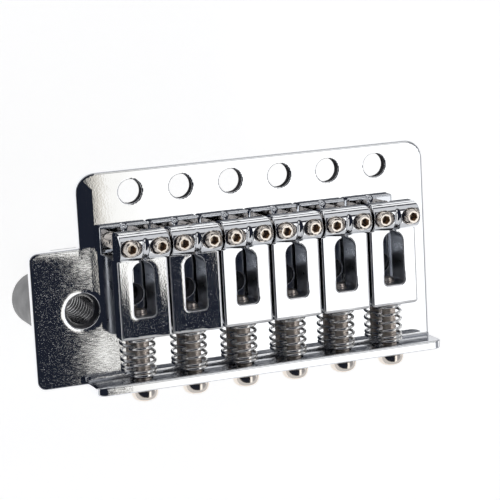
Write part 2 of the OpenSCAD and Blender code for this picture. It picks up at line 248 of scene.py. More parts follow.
def bent_sheet(y, z, flat):
    """The sheet, its bend and its lip, how far along the sheet a place lies, and where the lip ends."""
    turn_y, turn_z = BEND_Y, SHEET + BEND_R
    middle_r = BEND_R + SHEET / 2
    turn = np.arctan2(turn_y - y, turn_z - z)
    upright = between(y, PLATE_LOW[1], LIP_Y)
    bent = np.abs(np.hypot(y - turn_y, z - turn_z) - middle_r) - SHEET / 2
    above = z >= turn_z
    ahead = y >= turn_y
    sheet = np.where(
        ahead & above, np.minimum(flat, upright), np.where(ahead, flat, np.where(above, upright, bent))
    )
    along_lip = turn_y - middle_r * math.pi / 2 - (z - turn_z)
    run = np.where(ahead & ~above, y, np.where(above, along_lip, turn_y - middle_r * turn))
    run = np.where(ahead & above, np.maximum(y, along_lip), run)
    lip_end = turn_y - middle_r * math.pi / 2 - (PLATE_HIGH[2] - turn_z)
    return sheet, run, lip_end


def plate_shape(x, y, z):
    """The bent sheet with its ear, its lip and all its holes."""
    flat = np.maximum(z - plate_top(x, y), -z)
    sheet, run, lip_end = bent_sheet(y, z, flat)
    corners = (LIP_CORNER_R, LIP_CORNER_R, PLATE_CORNER_R, PLATE_CORNER_R)
    outline = rounded_box(x, run, (-PLATE_HALF_W, lip_end), (PLATE_HALF_W, PLATE_HIGH[1]), corners)
    shape = round_and(sheet, outline, PLATE_EDGE_R)
    corners = (EAR_CORNER_R, 0.3, EAR_CORNER_R, 0)
    ear = rounded_box(x, y, (PLATE_LOW[0], EAR_REAR_Y), (-PLATE_HALF_W - 0.02, EAR_FRONT_Y), corners)
    root = rounded_box(x, y, (PLATE_LOW[0] + 3, BEND_Y), (-PLATE_HALF_W + 4, EAR_FRONT_Y), (0, 0, 0, 0))
    shape = np.minimum(shape, round_and(flat, np.minimum(ear, root), PLATE_EDGE_R))
    shape = round_cut(shape, disc(off_row(x, HOLE_PITCH, 6), y, (0, 0), PIVOT_R), PIVOT_RIM_R)
    near = off_row(x, STRING_PITCH, 6)
    shape = round_cut(shape, disc(near, y, (0, STRING_Y), STRING_HOLE_R), HOLE_RIM_R)
    lip_hole = np.maximum(disc(near, z, (0, SCREW_Z), LIP_HOLE_R), y - BEND_Y)
    shape = round_cut(shape, lip_hole, LIP_HOLE_RIM_R)
    shape = round_cut(shape, disc(x, y, (ARM_X, ARM_Y), ARM_HOLE_R), ARM_HOLE_RIM_R)
    for screw_x in (-BLOCK_SCREW_X, 0, BLOCK_SCREW_X):
        shape = round_cut(shape, disc(x, y, (screw_x, BLOCK_SCREW_Y), BLOCK_HEAD_R), 0.1)
    return shape


def block_shape(x, y, z):
    """The cast block: a deep bar, the round nose for the arm and the curve that joins them."""
    bevel = BEVEL * np.clip((BEVEL_Z - z) / (BEVEL_Z - BLOCK_LOW[2]), 0, 1) * (y > STRING_Y)
    plan = rounded_box(
        x, y + bevel, (-BLOCK_HALF_L, BLOCK_LOW[1]), (BLOCK_HALF_L, BLOCK_HIGH[1]), (BLOCK_CORNER_R,) * 4
    )
    deep = round_and(round_and(plan, BLOCK_LOW[2] - z, BLOCK_FOOT_R), z, 0.4)
    nose_x = BLOCK_LOW[0] + NOSE_R
    arm = np.hypot(np.minimum(x - nose_x, 0), y - ARM_Y) - NOSE_R
    arm = np.maximum(arm, x)
    nose = round_and(arm, between(z, -NOSE_DEPTH, 0), 0.6)
    web_x, web_z = -BLOCK_HALF_L - NOSE_FILLET_R, -NOSE_DEPTH - NOSE_FILLET_R
    web = np.maximum(between(x, web_x, 0), between(z, web_z, -3))
    hollow = disc(x, z, (web_x, web_z), NOSE_FILLET_R)
    web = np.maximum(np.maximum(web, -hollow), np.abs(y - ARM_Y) - NOSE_R + 0.3)
    shape = fillet_or(fillet_or(deep, nose, 0.6), web, 0.4)
    shape = round_cut(shape, disc(x, y, (ARM_X, ARM_Y), ARM_BORE_R + ARM_THREAD_DEPTH), 0.2)
    near = off_row(x, STRING_PITCH, 6)
    ball = np.maximum(disc(near, y, (0, STRING_Y), BALL_R), z - BALL_SEAT_Z)
    shape = round_cut(shape, ball, 0.08)
    shape = np.maximum(shape, -disc(near, y, (0, STRING_Y), PASSAGE_R))
    near = off_row(x, STRING_PITCH, 5)
    hook = np.maximum(disc(near, y, (0, HOOK_Y), HOOK_R), z - BLOCK_LOW[2] - HOOK_DEPTH)
    return round_cut(shape, hook, 0.2)


def saddle_shape(x, y, z, lean=0.0, twist=0.0, bow=0.0):
    """One saddle, with x counted from its own middle. lean, twist and bow are as in SADDLE_TOPS."""
    rear_y = SADDLE_LOW[1] - REAR_EDGE
    up = z - (lean + twist * (TOP_MIDDLE_Y - y)) * x + bow * x**2 / 2
    corners = (0.5, CREST_RISE / 2, REAR_EDGE_R, 0)
    body = rounded_box(y, up, (rear_y, SADDLE_LOW[2]), (BODY_FRONT_Y, BODY_TOP), corners)
    front = rounded_box(
        y, up, (BODY_FRONT_Y - 2, SADDLE_LOW[2] + CREST_RISE), (SADDLE_HIGH[1], BODY_TOP), (0, 0.5, 0, 0)
    )
    crest = disc(y, up, (CREST_Y, BODY_TOP), CREST_R)
    profile = fillet_or(np.minimum(body, front), crest, 0.12)
    plan = rounded_box(
        x, y, (-SADDLE_HALF_W, rear_y), (SADDLE_HALF_W, SADDLE_HIGH[1] + 1), (0.8, 0.8, 0, 0)
    )
    shape = round_and(profile, plan, SADDLE_EDGE_R)
    belly = rounded_box(
        x, z, (-SADDLE_HALF_W, SADDLE_LOW[2]), (SADDLE_HALF_W, SADDLE_HIGH[2] + 1), (BELLY_R, BELLY_R, 0, 0)
    )
    shape = np.maximum(shape, belly)
    corners = (WINDOW_REAR_R, WINDOW_REAR_R, WINDOW_FRONT_R, WINDOW_FRONT_R)
    window = rounded_box(x, y, (-WINDOW_HALF_W, WINDOW_REAR_Y), (WINDOW_HALF_W, WINDOW_FRONT_Y), corners)
    edge_r = 0.18 + 0.2 * np.clip((TOP_MIDDLE_Y - y) / 3, 0, 1)
    shape = round_cut(shape, window, edge_r)
    high_up = np.clip((z - BODY_TOP) / 1.5 + 1.5, 0, 1)
    shape = shape + RIM_DROP * np.exp(-((np.maximum(window, 0) / RIM_W) ** 2)) * high_up
    arc = np.hypot(y - CREST_Y - GROOVE_SHIFT, z - BODY_TOP + GROOVE_DROP) - CREST_R - GROOVE_SHIFT
    groove = np.hypot(x, arc) - GROOVE_R
    shape = round_cut(shape, groove, GROOVE_RIM_R)
    bore = disc(np.abs(x), y, (GRUB_X, CREST_Y), TAPPED_R)
    mouth = bore - np.maximum(z - (BODY_TOP + CREST_R - TAPPED_SINK), 0)
    shape = round_cut(shape, mouth, TAPPED_RIM_R)
    tail = np.maximum(disc(x, z, (0, SCREW_Z), TAPPED_R), y - WINDOW_REAR_Y - 1)
    return round_cut(shape, tail, TAPPED_RIM_R)


def head_shape(x, y, z):
    """A pan head on the axis z, with its flat side at z = 0 and a cross recess in its dome."""
    edge = HEAD_H * 0.5
    dome_r = (HEAD_R**2 + (HEAD_H - edge) ** 2) / (2 * (HEAD_H - edge))
    rim = np.hypot(x, y) - HEAD_R
    dome = np.sqrt(x**2 + y**2 + (z - HEAD_H + dome_r) ** 2) - dome_r
    shape = round_and(round_and(rim, -z, 0.12), dome, 0.7)
    # The recess narrows as it gets deeper
    depth = HEAD_H - z
    half_w = 0.54 - 0.12 * depth
    half_l = 2.0 - 0.75 * depth
    along_y = np.maximum(np.abs(x) - half_w, np.abs(y) - half_l)
    along_x = np.maximum(np.abs(y) - half_w, np.abs(x) - half_l)
    middle = np.hypot(x, y) - 0.72 + 0.2 * depth
    recess = np.maximum(np.minimum(np.minimum(along_y, along_x), middle), depth - RECESS_DEPTH)
    return round_cut(shape, recess, 0.08)


SCREW_LOW, SCREW_HIGH = cad_box("intonation_screw_1")
HEAD_R = (SCREW_HIGH[0] - SCREW_LOW[0]) / 2
HEAD_PLAY = 0.16
RECESS_DEPTH = 1.35
# How far each head is turned, in degrees
HEAD_ANGLES = (66, 21, 62, 70, 64, 68)
HEAD_BASE_Y = PLATE_LOW[1] - HEAD_PLAY
HEAD_H = HEAD_BASE_Y - SCREW_LOW[1]


# Meshes


def slopes(distance, points):
    """The gradient of a signed distance at some points."""
    reach = 0.01
    result = np.zeros_like(points)
    for axis in range(3):
        shift = np.zeros(3)
        shift[axis] = reach
        result[:, axis] = (distance(*(points + shift).T) - distance(*(points - shift).T)) / (2 * reach)
    return result


def grid_line(low, high, coarse, *fine):
    """Places a coarse step apart, and closer in and near the fine stretches (start, end, step)."""
    first = min([coarse] + [step for start, _, step in fine if start <= low])
    places = [low - first * 1.37]
    while len(places) < 2 or places[-2] < high:
        at = places[-1]
        steps = [step + 0.3 * max(start - at, at - end, 0) for start, end, step in fine]
        places.append(at + min([coarse] + steps))
    return np.array(places)


def surface(distance, axes):
    """Points and quads where a signed distance is zero, with a point for each cell that it crosses."""
    field = distance(*np.meshgrid(*axes, indexing="ij"))
    solid = field < 0
    shape = tuple(n - 1 for n in field.shape)

    def corner(values, i, j, k):
        return values[i : i + shape[0], j : j + shape[1], k : k + shape[2]]

    total = np.zeros(shape + (3,))
    count = np.zeros(shape)
    for axis in range(3):
        for first in (0, 1):
            for second in (0, 1):
                start = np.insert([first, second], axis, 0)
                end = np.insert([first, second], axis, 1)
                a, b = corner(field, *start), corner(field, *end)
                crossed = (a < 0) != (b < 0)
                count += crossed
                for direction in range(3):
                    if direction == axis:
                        total[..., direction] += np.where(crossed, a / np.where(crossed, a - b, 1), 0)
                    else:
                        total[..., direction] += crossed * start[direction]
    mixed = count > 0
    number = np.full(shape, -1)
    number[mixed] = np.arange(mixed.sum())
    cells = np.argwhere(mixed)
    low = np.stack([axes[k][cells[:, k]] for k in range(3)], 1)
    size = np.stack([axes[k][cells[:, k] + 1] for k in range(3)], 1) - low
    points = low + total[mixed] / count[mixed][:, None] * size

    quads = []
    for axis in range(3):
        lower = np.take(solid, range(shape[axis]), axis)
        upper = np.take(solid, range(1, shape[axis] + 1), axis)
        at = np.argwhere(lower != upper)
        leaving = lower[tuple(at.T)]
        back_u, back_v = np.zeros(3, int), np.zeros(3, int)
        back_u[(axis + 1) % 3] = -1
        back_v[(axis + 2) % 3] = -1
        ring = [number[tuple((at + move).T)] for move in (0 * back_u, back_u, back_u + back_v, back_v)]
        quad = np.stack(ring, 1)
        quads.append(np.where(leaving[:, None], quad, quad[:, ::-1]))
    quads = np.concatenate(quads)

    for _ in range(4):
        slope = slopes(distance, points)
        steepness = np.maximum((slope**2).sum(1), 0.25)
        move = slope * (distance(*points.T) / steepness)[:, None]
        points = points - np.clip(move, -size / 2, size / 2)
    return points, quads


def new_mesh(name, points, faces):
    """A mesh from points in millimetres."""
    mesh = bpy.data.meshes.new(name)
    mesh.from_pydata((np.asarray(points) * MM).tolist(), [], [list(face) for face in faces])
    mesh.update()
    return mesh


def carved(name, distance, *axes):
    """A mesh of a signed distance on a grid, with its shading taken from the exact form."""
    points, quads = surface(distance, axes)
    mesh = new_mesh(name, points, quads.tolist())
    mesh.shade_smooth()
    slope = slopes(distance, points)
    slope /= np.maximum(np.linalg.norm(slope, axis=1), 1e-6)[:, None]
    mesh.normals_split_custom_set_from_vertices(slope.tolist())
    return mesh


def skinned(name, rings, closed=False, sharp=35):
    """A mesh over rings with as many points each. Unless it closes on itself, its ends are capped."""
    count = len(rings[0])
    faces = []
    rows = len(rings)
    for i in range(rows if closed else rows - 1):
        ahead = (i + 1) % rows
        for k in range(count):
            beside = (k + 1) % count
            faces.append((i * count + k, i * count + beside, ahead * count + beside, ahead * count + k))
    if not closed:
        faces.append(tuple(range(count - 1, -1, -1)))
        faces.append(tuple((rows - 1) * count + k for k in range(count)))
    mesh = new_mesh(name, np.concatenate(rings), faces)
    mesh.shade_smooth()
    mesh.set_sharp_from_angle(angle=math.radians(sharp))
    return mesh


def round_ring(radius, height, sides):
    """A ring round the axis z. radius is a number, or one for each side."""
    turn = np.linspace(0, 2 * math.pi, sides, endpoint=False)
    return np.stack([radius * np.cos(turn), radius * np.sin(turn), np.full(sides, height)], 1)


def thread_rings(radius, low, high, sides=24, rows=5, limit=None, pitch=THREAD_PITCH, depth=THREAD_DEPTH):
    """Rings of a thread on a rod from z = low to high. limit(z) gives the largest radius at a height."""
    turn = np.linspace(0, 1, sides, endpoint=False)
    rings = []
    for z in np.linspace(low, high, int((high - low) / pitch * rows) + 1):
        phase = (z / pitch - turn) % 1
        cut = depth * np.clip(1.35 - np.abs(phase - 0.5) * 3.2, 0, 1)
        size = radius - cut
        if limit:
            size = np.minimum(size, limit(z))
        rings.append(round_ring(size, z, sides))
    return rings


def hexagon_radius(half_flats, sides):
    """Distance from the middle to the edge of a hexagon, for each side of a ring."""
    turn = np.linspace(0, 2 * math.pi, sides, endpoint=False)
    return half_flats / np.cos((turn + math.pi / 6) % (math.pi / 3) - math.pi / 6)


def tube(name, path, radius, sides=12):
    """A round tube along a smooth path, with closed ends."""
    path = np.asarray(path, float)
    ahead = np.gradient(path, axis=0)
    ahead /= np.linalg.norm(ahead, axis=1)[:, None]
    side = np.cross(ahead[0], (0.3, 0.5, 0.8))
    turn = np.linspace(0, 2 * math.pi, sides, endpoint=False)
    rings = []
    for place, forward in zip(path, ahead):
        side = side - forward * (side @ forward)
        side /= np.linalg.norm(side)
        other = np.cross(forward, side)
        rings.append(place + radius * (np.outer(np.cos(turn), side) + np.outer(np.sin(turn), other)))
    return skinned(name, rings)


def joined(name, meshes):
    """One mesh made of several."""
    form = bmesh.new()
    for mesh in meshes:
        form.from_mesh(mesh)
    whole = bpy.data.meshes.new(name)
    form.to_mesh(whole)
    form.free()
    return whole


# Materials


def new_material(name):
    material = bpy.data.materials.new(name)
    material.use_nodes = True
    nodes, links = material.node_tree.nodes, material.node_tree.links
    return material, nodes, links, nodes["Principled BSDF"]


WAVE_SIZE = 5.0
BRUSH_SIZE = 0.28
PIT_SIZE = 0.17
EVENLY = (1, 1, 1)
ALONG_X = (0.12, 1, 1)


def metal(name, colour, roughness, waves=0.0, grain=0.0, grain_size=0.2, wear=0.0, brushed=0.0, pits=0.0):
    """A metal whose roughness varies by a share of wear, with relief in its shading.

    waves, grain, brushed and pits are the heights of slow waves, fine grain, brush marks along x and
    scattered marks. Like grain_size, they are millimetres.
    """
    material, nodes, links, shader = new_material(name)
    shader.inputs["Metallic"].default_value = 1.0
    place = nodes.new("ShaderNodeTexCoord").outputs["Object"]
    shine = nodes.new("ShaderNodeTexNoise")
    shine.inputs["Scale"].default_value = 260
    shine.inputs["Detail"].default_value = 4
    links.new(place, shine.inputs["Vector"])
    tone = nodes.new("ShaderNodeMapRange")
    tone.inputs["From Min"].default_value = 0.35
    tone.inputs["From Max"].default_value = 0.65
    tone.inputs["To Min"].default_value = roughness * (1 - wear)
    tone.inputs["To Max"].default_value = roughness * (1 + wear)
    links.new(shine.outputs["Fac"], tone.inputs["Value"])
    links.new(tone.outputs["Result"], shader.inputs["Roughness"])
    tint = nodes.new("ShaderNodeMix")
    tint.data_type = "RGBA"
    tint.inputs["A"].default_value = (*colour, 1)
    tint.inputs["B"].default_value = (*[c * 0.93 for c in colour], 1)
    links.new(shine.outputs["Fac"], tint.inputs["Factor"])
    links.new(tint.outputs["Result"], shader.inputs["Base Color"])
    normal = None
    # Height, width, stretch, and the levels of the noise between which the relief rises
    marks = (
        (waves, WAVE_SIZE, EVENLY, 0, 1),
        (grain, grain_size, EVENLY, 0, 1),
        (brushed, BRUSH_SIZE, ALONG_X, 0, 1),
        (pits, PIT_SIZE, EVENLY, 0.67, 0.8),
    )
    for height, size, stretch, least, most in marks:
        if height <= 0:
            continue
        drawn = nodes.new("ShaderNodeVectorMath")
        drawn.operation = "MULTIPLY"
        drawn.inputs[1].default_value = stretch
        links.new(place, drawn.inputs[0])
        noise = nodes.new("ShaderNodeTexNoise")
        noise.inputs["Scale"].default_value = 1 / (size * MM)
        noise.inputs["Detail"].default_value = 2
        links.new(drawn.outputs["Vector"], noise.inputs["Vector"])
        bump = nodes.new("ShaderNodeBump")
        bump.inputs["Strength"].default_value = 1.0
        bump.inputs["Distance"].default_value = height * MM
        level = noise.outputs["Fac"]
        if least > 0:
            cut = nodes.new("ShaderNodeMapRange")
            cut.inputs["From Min"].default_value = least
            cut.inputs["From Max"].default_value = most
            links.new(level, cut.inputs["Value"])
            level = cut.outputs["Result"]
        links.new(level, bump.inputs["Height"])
        if normal:
            links.new(normal, bump.inputs["Normal"])
        normal = bump.outputs["Normal"]
    if normal:
        links.new(normal, shader.inputs["Normal"])
    return material


CHROME = (0.90, 0.91, 0.93)
plate_chrome = metal("plate_chrome", CHROME, 0.02, waves=0.003, grain=0.001, grain_size=0.3, wear=0.5)
ear_chrome = metal(
    "ear_chrome", CHROME, 0.03, waves=0.006, grain=0.002, wear=0.5, brushed=0.012, pits=0.004
)
saddle_chrome = metal("saddle_chrome", CHROME, 0.03, waves=0.003, grain=0.001, grain_size=0.3, wear=0.5)
sandy_chrome = metal(
    "sandy_chrome", CHROME, 0.03, waves=0.006, grain=0.004, grain_size=0.28, wear=0.5, pits=0.014
)
# The lip's inside is rougher than the top, and its colour is darker than the chrome: painted shade
LIP_SHADE = (0.55, 0.56, 0.59)
lip_chrome_painted_shade = metal("lip_chrome_painted_shade", LIP_SHADE, 0.14, waves=0.02, grain=0.012, grain_size=0.4, wear=0.5)
worn = metal("worn", (0.90, 0.90, 0.91), 0.42, grain=0.02, grain_size=0.3, wear=0.3)
# Painted shade: the walls of the pivot holes are near black and barely reflect, for the dark crescent
# inside each hole
hole_wall_painted_shade = metal("hole_wall_painted_shade", (0.035, 0.035, 0.04), 0.8, grain=0.004, wear=0.2)
hole_wall_painted_shade.node_tree.nodes["Principled BSDF"].inputs["Metallic"].default_value = 0.0
hole_wall_painted_shade.node_tree.nodes["Principled BSDF"].inputs["Specular IOR Level"].default_value = 0.1
milled = metal("milled", (0.62, 0.64, 0.68), 0.36, waves=0.006, grain=0.012, grain_size=0.25, wear=0.4)
ZINC = (0.225, 0.225, 0.23)
cast_zinc = metal("cast_zinc", ZINC, 0.5, waves=0.02, grain=0.04, grain_size=0.35, wear=0.15)
nickel = metal("nickel", (0.84, 0.77, 0.70), 0.14, grain=0.004, wear=0.4)
# The shank's thread is satin, rougher than the head, and its colour is lighter than the head's nickel:
# painted light
shank_nickel_painted_light = metal("shank_nickel_painted_light", (1.0, 0.89, 0.80), 0.4, grain=0.004, wear=0.3)
# Painted shade: the grub screws' hex sockets are a browner, darker nickel than the outside, for the shade
# in the recess
socket_painted_shade = metal("socket_painted_shade", (0.82, 0.66, 0.50), 0.3, grain=0.004, wear=0.2)
spring_steel = metal("spring_steel", (0.95, 0.94, 0.92), 0.22, grain=0.001, wear=0.4)
zinc_thread = metal("zinc_thread", (0.5, 0.5, 0.51), 0.1, grain=0.004, wear=0.3)


# Pieces


def piece(name, mesh, materials, body, slot, *nodes, place=(0, 0, 0)):
    """Adds a mesh as a piece that stands for some CAD nodes and rides on a body."""
    thing = bpy.data.objects.new(name, mesh)
    bpy.context.scene.collection.objects.link(thing)
    if not mesh.materials:
        for material in materials:
            mesh.materials.append(material)
    thing.location = Vector(place) * MM
    if nodes:
        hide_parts(*nodes)
    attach(thing, body)
    return thing


def plate_finish(place, normal):
    """Which of the plate's materials a place has.

    0 is polished, 1 the lip's rougher inside with painted shade, 2 a pivot hole's wall in painted shade and
    3 the ear's top.
    """
    nearest = np.clip(round(place.x / HOLE_PITCH - 0.5) + 0.5, -2.5, 2.5) * HOLE_PITCH
    at_hole = math.hypot(place.x - nearest, place.y) < PIVOT_R + 0.25
    # The walls of the pivot holes take the painted shade
    if at_hole and abs(normal.z) < 0.6 and place.z < SHEET - 0.12:
        return 2
    finish_x = EAR_ROOT_X if place.y < EAR_ROOT_Y else EAR_FINISH_X
    if place.y < EAR_FRONT_Y and place.x < finish_x and normal.z > 0.9:
        return 3
    # The lip's inside takes its rougher finish with painted shade
    return int(place.y < BEND_Y + 0.3 and normal.y > 0.3 and place.z < PLATE_HIGH[2] - 0.4)


def make_plate():
    holes = [((n - 3.5) * HOLE_PITCH, PIVOT_R + 0.2) for n in STRINGS] + [(ARM_X, ARM_HOLE_R + 0.2)]
    edges = [(x, x + 0.6, 0.25) for x in (PLATE_LOW[0], -PLATE_HALF_W, PLATE_HALF_W - 0.6)]
    rims = [(middle - r, middle + r, 0.2) for middle, r in holes]
    across = grid_line(PLATE_LOW[0], PLATE_HIGH[0], 0.55, *edges, *rims)
    along = grid_line(
        PLATE_LOW[1], PLATE_HIGH[1], 0.8, (PLATE_LOW[1], BEND_Y, 0.22), (-26.3, -18.7, 0.24),
        (-14, -9.5, 0.32), (-2.7, 2.7, 0.2), (2.7, PLATE_HIGH[1], 0.28),
    )
    upward = grid_line(0, PLATE_HIGH[2], 0.35, (0, 0.5, 0.2), (1.5, 2.1, 0.13), (8, PLATE_HIGH[2], 0.2))
    mesh = carved("base_plate_skin", plate_shape, across, along, upward)
    for material in (plate_chrome, lip_chrome_painted_shade, hole_wall_painted_shade, ear_chrome):
        mesh.materials.append(material)
    for face in mesh.polygons:
        face.material_index = plate_finish(face.center / MM, face.normal)
    piece("plate", mesh, [], "bridge", "bright_chrome", "base_plate")


def make_block():
    across = grid_line(
        BLOCK_LOW[0], BLOCK_HALF_L, 0.5, (BLOCK_LOW[0], -32.5, 0.35), (32, BLOCK_HALF_L, 0.35)
    )
    along = grid_line(BLOCK_LOW[1], BLOCK_HIGH[1], 0.45, (-17.5, -16.6, 0.12))
    upward = grid_line(
        BLOCK_LOW[2], 0, 1.5, (BLOCK_LOW[2], -37.3, 0.16), (-37.3, -36.5, 0.35), (-29.6, -28.4, 0.3),
        (-24, -16, 0.4), (-15, -13, 0.4), (-1, 0, 0.35),
    )
    mesh = carved("block_skin", block_shape, across, along, upward)
    piece("block", mesh, [cast_zinc], "bridge", "cast_zinc", "inertia_block")
    # The arm socket's thread is a sleeve in the bore
    bottom, top = -NOSE_DEPTH + 0.2, -0.2
    sides = 48
    outer = ARM_BORE_R + 0.45
    inner = thread_rings(
        ARM_BORE_R + ARM_THREAD_DEPTH, bottom, top, sides=sides, rows=8, pitch=ARM_PITCH,
        depth=ARM_THREAD_DEPTH,
    )
    sleeve = [round_ring(outer, bottom, sides), *inner, round_ring(outer, top, sides)]
    mesh = skinned("arm_thread_skin", sleeve, closed=True)
    mesh.flip_normals()
    piece("arm_socket_thread", mesh, [zinc_thread], "bridge", "cast_zinc", place=(ARM_X, ARM_Y, 0))


# For each saddle: its top's slope along x, how much that grows a millimetre further back,
# and its curve along x
SADDLE_TOPS = (
    (0.0145, 0.0018, -0.001),
    (0.044, 0.0010, 0.0005),
    (0.0, 0.0, 0.003),
    (-0.003, 0.0, 0.003),
    (0.0, 0.0, 0.002),
    (-0.002, 0.0, 0.002),
)


def saddle_finish(place, normal):
    """Which of a saddle's materials a place on it has: 0 polished, 1 milled, 2 worn."""
    in_window = abs(place.x) < WINDOW_HALF_W + 0.1 and WINDOW_REAR_Y - 0.1 < place.y < WINDOW_FRONT_Y + 0.1
    on_belly = abs(place.x) > SADDLE_HALF_W - BELLY_R and place.z < SADDLE_LOW[2] + BELLY_R
    if in_window and place.z < SADDLE_LOW[2] + 0.4:
        return 2
    if (in_window and place.z < BODY_TOP - 0.2) or on_belly:
        return 1
    at_rear = place.y < SADDLE_LOW[1] + REAR_EDGE_R
    rounded = 0.25 < normal.z < (0.985 if at_rear else 0.93)
    on_edge = rounded and BODY_TOP - 0.9 < place.z < BODY_TOP + 0.05 and place.y < BODY_FRONT_Y
    below_window = abs(place.x) < WINDOW_HALF_W + 0.4 and place.y < WINDOW_REAR_Y + 0.5
    return 2 if on_edge and (below_window or not in_window) else 0


def make_saddles():
    rear, front = SADDLE_LOW[1] - REAR_EDGE, SADDLE_HIGH[1]
    bottom, top = SADDLE_LOW[2], SADDLE_HIGH[2]
    across = grid_line(
        -SADDLE_HALF_W, SADDLE_HALF_W, 0.2, (-SADDLE_HALF_W, -4.6, 0.12), (4.6, SADDLE_HALF_W, 0.12),
        (-0.9, 0.9, 0.12), (-2.5, -1.8, 0.1), (1.8, 2.5, 0.1),
    )
    along = grid_line(
        rear, front, 0.8, (rear, -26.3, 0.18), (WINDOW_REAR_Y - 0.6, -22.4, 0.18),
        (-15.4, WINDOW_FRONT_Y, 0.18), (WINDOW_FRONT_Y, front, 0.14),
    )
    upward = grid_line(bottom, top, 0.5, (bottom, 6.5, 0.3), (8, BODY_TOP, 0.14), (BODY_TOP, top, 0.16))
    for n, (lean, twist, bow) in zip(STRINGS, SADDLE_TOPS):
        form = partial(saddle_shape, lean=lean, twist=twist, bow=bow)
        mesh = carved(f"saddle_skin_{n}", form, across, along, upward)
        for material in (sandy_chrome if n < 3 else saddle_chrome, milled, worn):
            mesh.materials.append(material)
        for face in mesh.polygons:
            face.material_index = saddle_finish(face.center / MM, face.normal)
        piece(
            f"saddle_block_{n}", mesh, [], f"saddle_{n}", "bright_chrome", f"saddle_{n}",
            place=(string_x(n), 0, 0),
        )


def laid_along_y(mesh, angle):
    """A copy of a screw made along z, turned by angle and laid down with its head towards -y."""
    turned = mesh.copy()
    places = np.zeros(len(turned.vertices) * 3)
    turned.vertices.foreach_get("co", places)
    places = places.reshape(-1, 3)
    x = places[:, 0] * math.cos(angle) - places[:, 1] * math.sin(angle)
    z = places[:, 0] * math.sin(angle) + places[:, 1] * math.cos(angle)
    y = HEAD_BASE_Y * MM - places[:, 2]
    turned.vertices.foreach_set("co", np.stack([x, y, z], 1).ravel())
    turned.update()
    return turned


def make_intonation_screws():
    """Each is a pan head with a threaded shank."""
    across = grid_line(-HEAD_R, HEAD_R, 0.16)
    head = carved("head_skin", head_shape, across, across, grid_line(0, HEAD_H, 0.14))
    tip = -(SCREW_HIGH[1] - HEAD_BASE_Y)

    def limit(z):
        return SCREW_R - 0.3 + 0.5 * (z - tip)

    shank = skinned("shank_skin", thread_rings(SCREW_R, tip, 0.1, limit=limit, depth=0.11), sharp=60)
    mesh = joined("intonation_screw_skin", [head, shank])
    mesh.materials.append(nickel)
    # The shank takes the lightened nickel, painted light
    mesh.materials.append(shank_nickel_painted_light)
    for face in mesh.polygons:
        face.material_index = int(face.center.z < 0)
    for n, angle in zip(STRINGS, HEAD_ANGLES):
        piece(
            f"screw_{n}", laid_along_y(mesh, math.radians(angle)), [], f"intonation_screw_{n}", "nickel",
            f"intonation_screw_{n}", place=(string_x(n), 0, SCREW_Z),
        )


def make_height_screws():
    low, high = cad_box("height_screw_1_left")
    sides = 36
    top = high[2]
    edge, taper = 0.3, 0.6
    flats, depth = 0.75, 1.6

    def limit(z):
        return SCREW_R - taper + (z - low[2])

    rings = thread_rings(SCREW_R, low[2], top - edge, sides=sides, rows=4, limit=limit)
    rings.append(round_ring(SCREW_R - edge, top, sides))
    rings.append(round_ring(hexagon_radius(flats + 0.08, sides), top, sides))
    rings.append(round_ring(hexagon_radius(flats, sides), top - 0.08, sides))
    rings.append(round_ring(hexagon_radius(flats, sides), top - depth, sides))
    mesh = skinned("height_screw_skin", rings)
    mesh.materials.append(nickel)
    mesh.materials.append(socket_painted_shade)
    # The faces of the hex recess take the socket's painted shade
    inside = (len(rings) - 2) * sides
    for face in mesh.polygons:
        if min(face.vertices) >= inside - sides and max(face.vertices) >= inside:
            face.material_index = 1
    for n in STRINGS:
        for side, sign in zip(SIDES, (-1, 1)):
            name = f"height_screw_{n}_{side}"
            thing = piece(
                f"grub_{n}_{side}", mesh.copy(), [], name, "nickel", name,
                place=(string_x(n) + sign * GRUB_X, CREST_Y, 0),
            )
            thing.rotation_euler = (0, 0, math.radians(17 * n + 31 * sign))


def spring_path():
    """The middle of the wire from the lip to the saddle: open curls between closed curls at each end."""
    low, high = cad_box("intonation_spring_1")
    coil_r = (high[0] - low[0]) / 2 - WIRE_R
    length = high[1] - low[1] - 2 * WIRE_R
    closed = CLOSED_PITCH * (REAR_CURLS + FRONT_CURLS)
    turns = REAR_CURLS + FRONT_CURLS + OPEN_CURLS
    open_pitch = (length - closed) / OPEN_CURLS
    turn = np.linspace(0, turns, int(turns * 36) + 1)
    run = np.cumsum(np.where((turn < REAR_CURLS) | (turn > turns - FRONT_CURLS), CLOSED_PITCH, open_pitch))
    run *= length / run[-1]
    angle = 2 * math.pi * (turn + CURL_START)
    path = np.stack([coil_r * np.cos(angle), low[1] + WIRE_R + run, -coil_r * np.sin(angle)], 1)
    return path, (low[1], high[1])


def make_springs():
    path, ends = spring_path()
    for n in STRINGS:
        mesh = tube(f"spring_skin_{n}", path, WIRE_R)
        mesh.materials.append(spring_steel)
        thing = bpy.data.objects.new(f"spring_{n}", mesh)
        bpy.context.scene.collection.objects.link(thing)
        thing.location = Vector((string_x(n), 0, SCREW_Z)) * MM
        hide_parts(f"intonation_spring_{n}")
        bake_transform(thing)


make_plate()
make_block()
make_saddles()
make_intonation_screws()
make_height_screws()
make_springs()
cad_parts["block_screws"].data.materials.clear()
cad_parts["block_screws"].data.materials.append(spring_steel)


# Studio

CAMERA_PLACE = (-144.89, 57.10, 374.69)
CAMERA_TURN = (-8.987, -21.504, -3.229)
CAMERA_LENS = 145.5
FLOOR_R = 190
FLOOR_Z = BLOCK_LOW[2] - 0.5
FLOOR_GLOW = 2.06
# How much of the floor is glow and not white paint, and how much more the camera and reflections see of it
GLOW_SHARE = 0.17
GLOW_SHARE_CAMERA = 0.24
GLOW_SHARE_REFLECTED = 0.28


